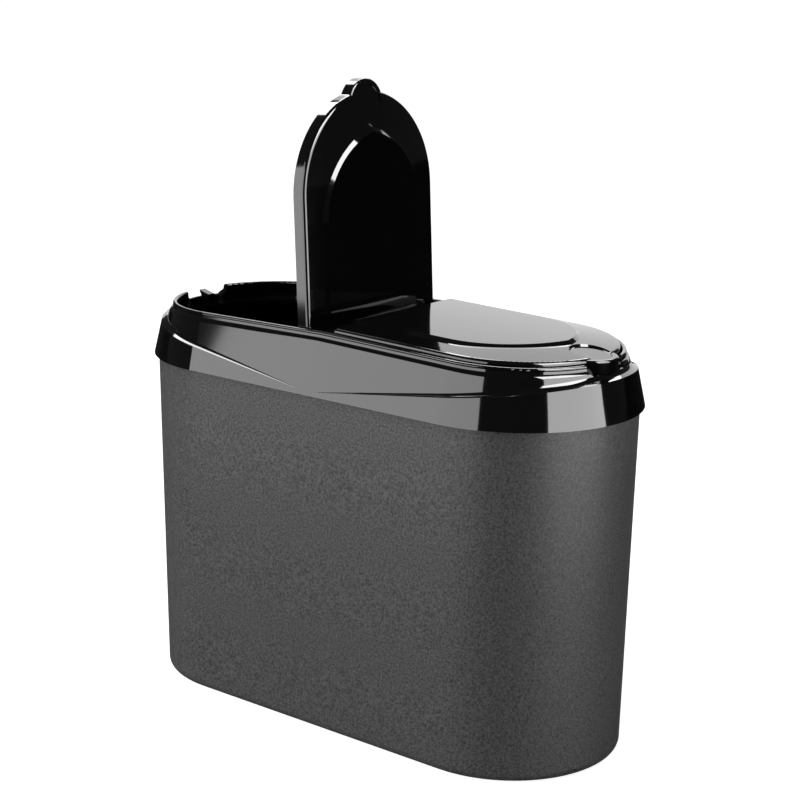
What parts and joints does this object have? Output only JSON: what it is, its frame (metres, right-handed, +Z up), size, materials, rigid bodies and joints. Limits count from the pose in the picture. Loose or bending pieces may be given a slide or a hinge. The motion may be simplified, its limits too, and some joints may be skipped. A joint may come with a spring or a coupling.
{
  "type": "car trash bin",
  "caption": "Slim obround waste bin for a car, with a lift-off lid whose sprung flaps hinge at a central bridge and latch at a press tab over a finger notch at each end.",
  "frame": {"origin": "centre of the foot, on the surface that the bin stands on", "axes": "+X along the length towards the end whose flap is closed, +Y across towards the back of the picture, +Z up"},
  "size_m": [0.2396, 0.1052, 0.2717],
  "materials": {
    "grained_plastic": "fine matt grain",
    "polished_plastic": "high gloss",
    "spring_steel": "drawn wire"
  },
  "bodies": {
    "bin": {"bin_body": "grained_plastic"},
    "lid": {"lid_collar": "polished_plastic", "left_hinge_rod": "spring_steel", "right_hinge_rod": "spring_steel", "left_spring": "spring_steel", "right_spring": "spring_steel"},
    "left_flap": {"left_flap": "polished_plastic"},
    "right_flap": {"right_flap": "polished_plastic"}
  },
  "joints": [
    {"name": "lid_lift", "type": "slide", "parent": "bin", "child": "lid", "axis": [0, 0, 1], "range_m": [0, 0.05]},
    {"name": "left_flap_hinge", "type": "hinge", "parent": "lid", "child": "left_flap", "pos_m": [-0.01235, 0, 0.17004], "axis": [0, -1, 0], "range_deg": [0, 88.2], "stiffness_Nm_per_rad": 0.01, "springref_deg": -28.65, "deforming": ["left_spring"]},
    {"name": "right_flap_hinge", "type": "hinge", "parent": "lid", "child": "right_flap", "pos_m": [0.01235, 0, 0.17004], "axis": [0, -1, 0], "range_deg": [0, 88.2], "deforming": ["right_spring"]}
  ]
}
